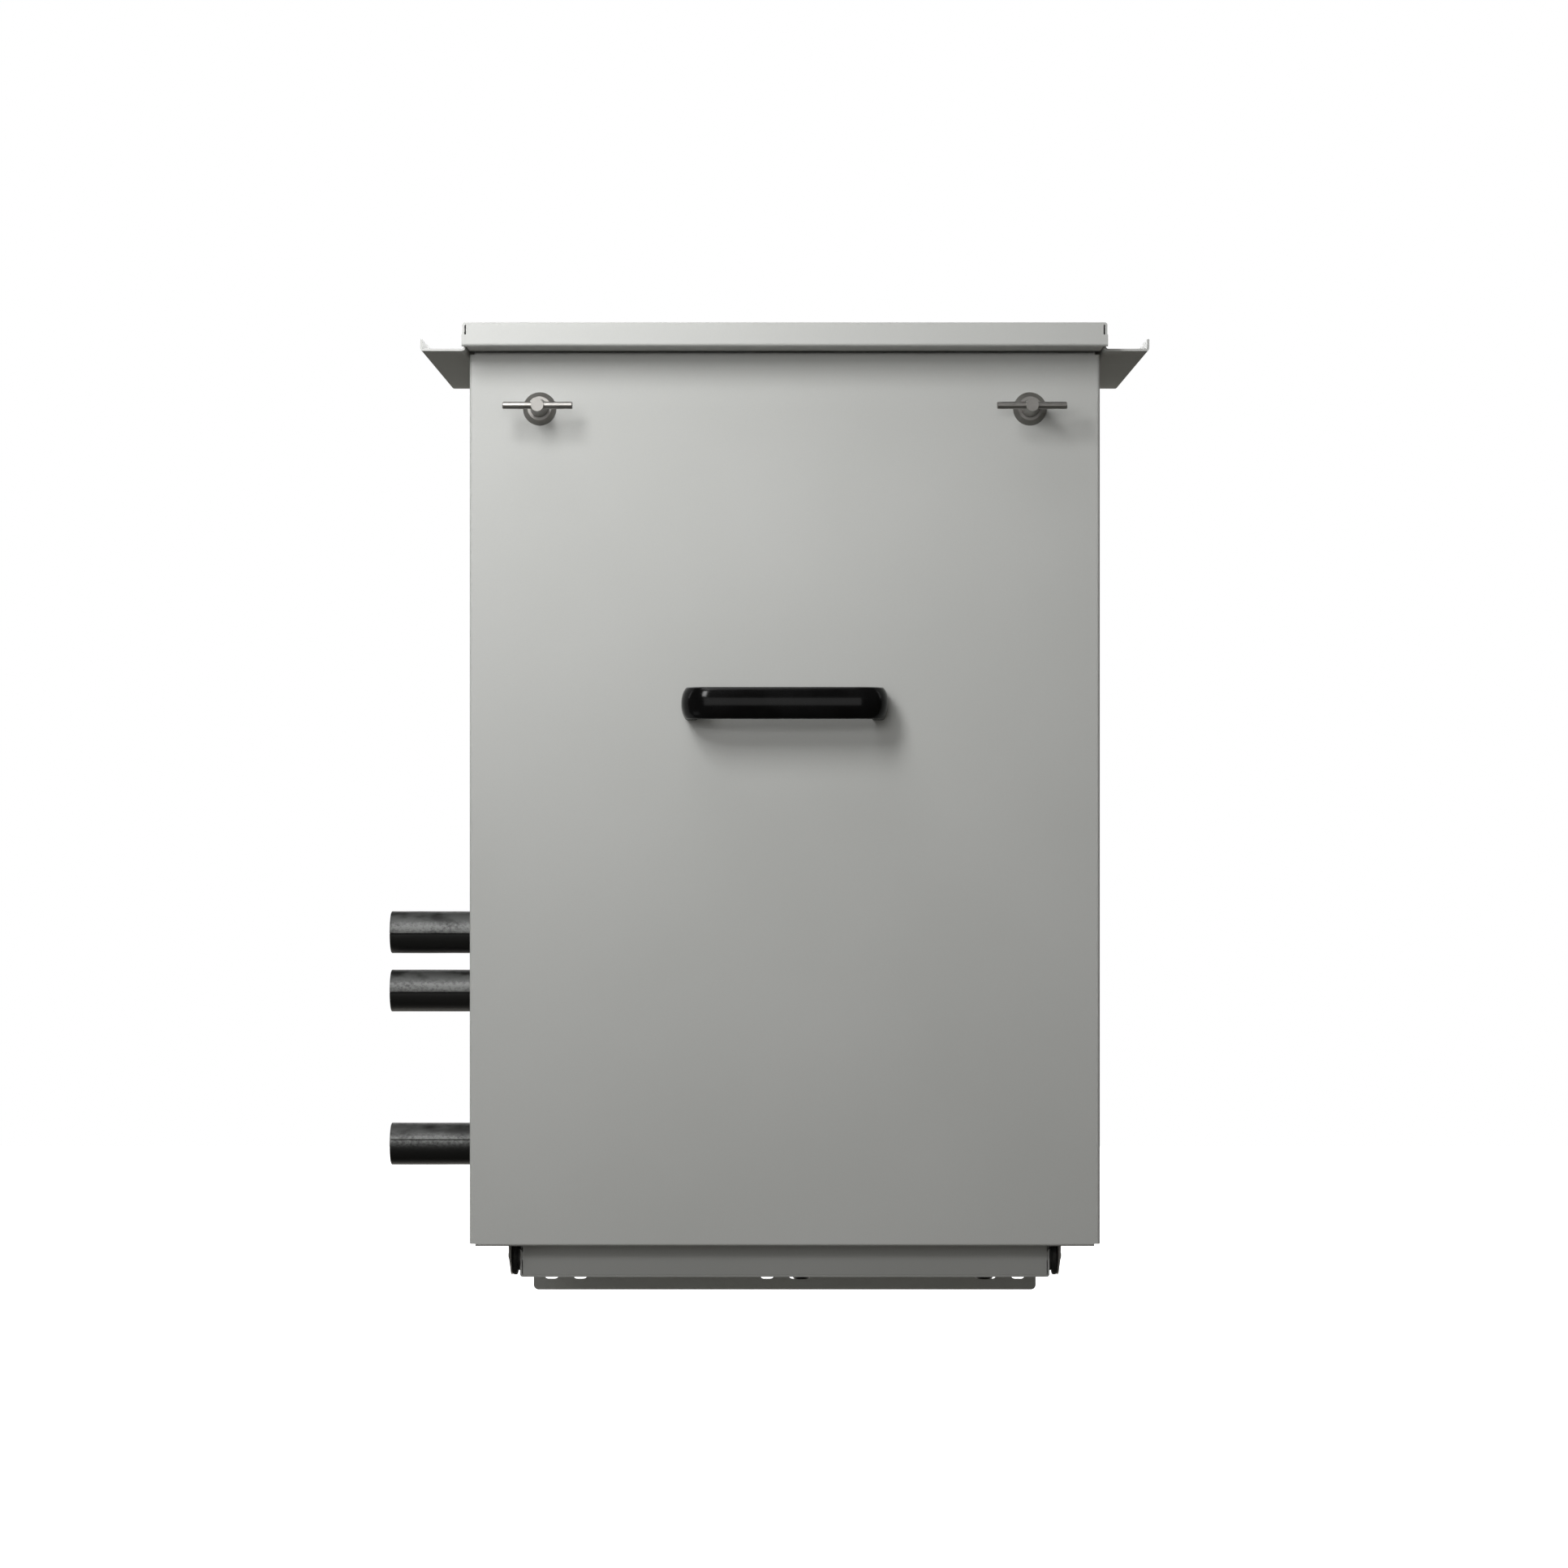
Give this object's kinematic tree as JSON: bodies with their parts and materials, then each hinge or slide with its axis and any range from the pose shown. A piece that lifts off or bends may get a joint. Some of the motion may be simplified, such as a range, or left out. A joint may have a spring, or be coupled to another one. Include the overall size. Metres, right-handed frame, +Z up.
{
  "type": "wall-mounted refrigeration service cabinet",
  "caption": "Wall-hung sheet-metal service cabinet with drop-down door, T-handle latches, bow handle, folded roof with hanger flanges and insulated refrigerant lines.",
  "frame": {"origin": "centre of the lower row of wall slots, on the wall plane (the back of the wall plate)", "axes": "+X to the viewer's right, +Y into the wall, +Z up; the door faces -Y"},
  "size_m": [0.6844, 0.337, 0.9194],
  "materials": {
    "coat": "satin powder coat",
    "zinc": "zinc plated",
    "satin_steel": "satin",
    "copper": "drawn copper tube",
    "brass": "machined",
    "lever_coat": "dipped vinyl",
    "foam": "closed-cell foam",
    "rubber": "matte",
    "black_plastic": "gloss",
    "gland_plastic": "matte",
    "pack_film": "matte",
    "grey_plastic": "matte"
  },
  "bodies": {
    "cabinet": {"wall_plate": "coat", "cabinet_wrap": "coat", "cabinet_floor": "coat", "cabinet_top": "coat", "front_header": "coat", "roof_cap": "coat", "base_tray": "coat", "control_box": "coat", "control_cover": "coat", "panel_screws": "zinc", "line_bracket": "zinc", "pipe_clamps": "zinc", "tank_straps": "zinc", "pivot_bolts": "zinc", "pivot_nuts": "zinc", "din_rail": "zinc", "tank_shell": "satin_steel", "tank_lid": "satin_steel", "line_lower": "copper", "line_middle": "copper", "line_upper": "copper", "storage_coil": "copper", "valve_lower": "brass", "valve_middle": "brass", "valve_upper": "brass", "solenoid_valve": "brass", "expansion_valve": "brass", "check_valve": "brass", "relief_valve": "brass", "sleeve_lower": "foam", "sleeve_middle": "foam", "sleeve_upper": "foam", "tank_jacket": "foam", "pipe_grommets": "rubber", "pivot_discs": "rubber", "cable_glands": "gland_plastic", "gland_nuts": "gland_plastic", "solenoid_coil": "gland_plastic", "storage_packs": "pack_film", "wire_duct": "grey_plastic", "terminal_blocks": "grey_plastic", "controller": "grey_plastic"},
    "door": {"door_panel": "coat", "door_frame": "coat", "door_gasket": "foam", "door_handle": "black_plastic", "handle_screws": "zinc", "hinge_straps": "zinc", "latch_collars": "satin_steel", "latch_nuts": "zinc"},
    "latch_left": {"latch_stem_left": "satin_steel", "latch_bar_left": "satin_steel", "latch_cam_left": "zinc"},
    "latch_right": {"latch_stem_right": "satin_steel", "latch_bar_right": "satin_steel", "latch_cam_right": "zinc"},
    "lever_lower_body": {"lever_lower": "lever_coat"},
    "lever_middle_body": {"lever_middle": "lever_coat"},
    "lever_upper_body": {"lever_upper": "lever_coat"}
  },
  "joints": [
    {"name": "door_hinge", "type": "hinge", "parent": "cabinet", "child": "door", "pos_m": [0, -0.2565, 0.051], "axis": [1, 0, 0], "range_deg": [0, 95]},
    {"name": "latch_left_turn", "type": "hinge", "parent": "door", "child": "latch_left", "pos_m": [-0.2177, -0.295, 0.8075], "axis": [0, -1, 0], "range_deg": [0, 90]},
    {"name": "latch_right_turn", "type": "hinge", "parent": "door", "child": "latch_right", "pos_m": [0.2177, -0.295, 0.8075], "axis": [0, 1, 0], "range_deg": [0, 90]},
    {"name": "valve_lower_turn", "type": "hinge", "parent": "cabinet", "child": "lever_lower_body", "pos_m": [-0.225, -0.165, 0.1422], "axis": [0, -1, 0], "range_deg": [0, 90]},
    {"name": "valve_middle_turn", "type": "hinge", "parent": "cabinet", "child": "lever_middle_body", "pos_m": [-0.225, -0.165, 0.2836], "axis": [0, 1, 0], "range_deg": [0, 90]},
    {"name": "valve_upper_turn", "type": "hinge", "parent": "cabinet", "child": "lever_upper_body", "pos_m": [-0.225, -0.165, 0.3375], "axis": [0, -1, 0], "range_deg": [0, 90]}
  ]
}
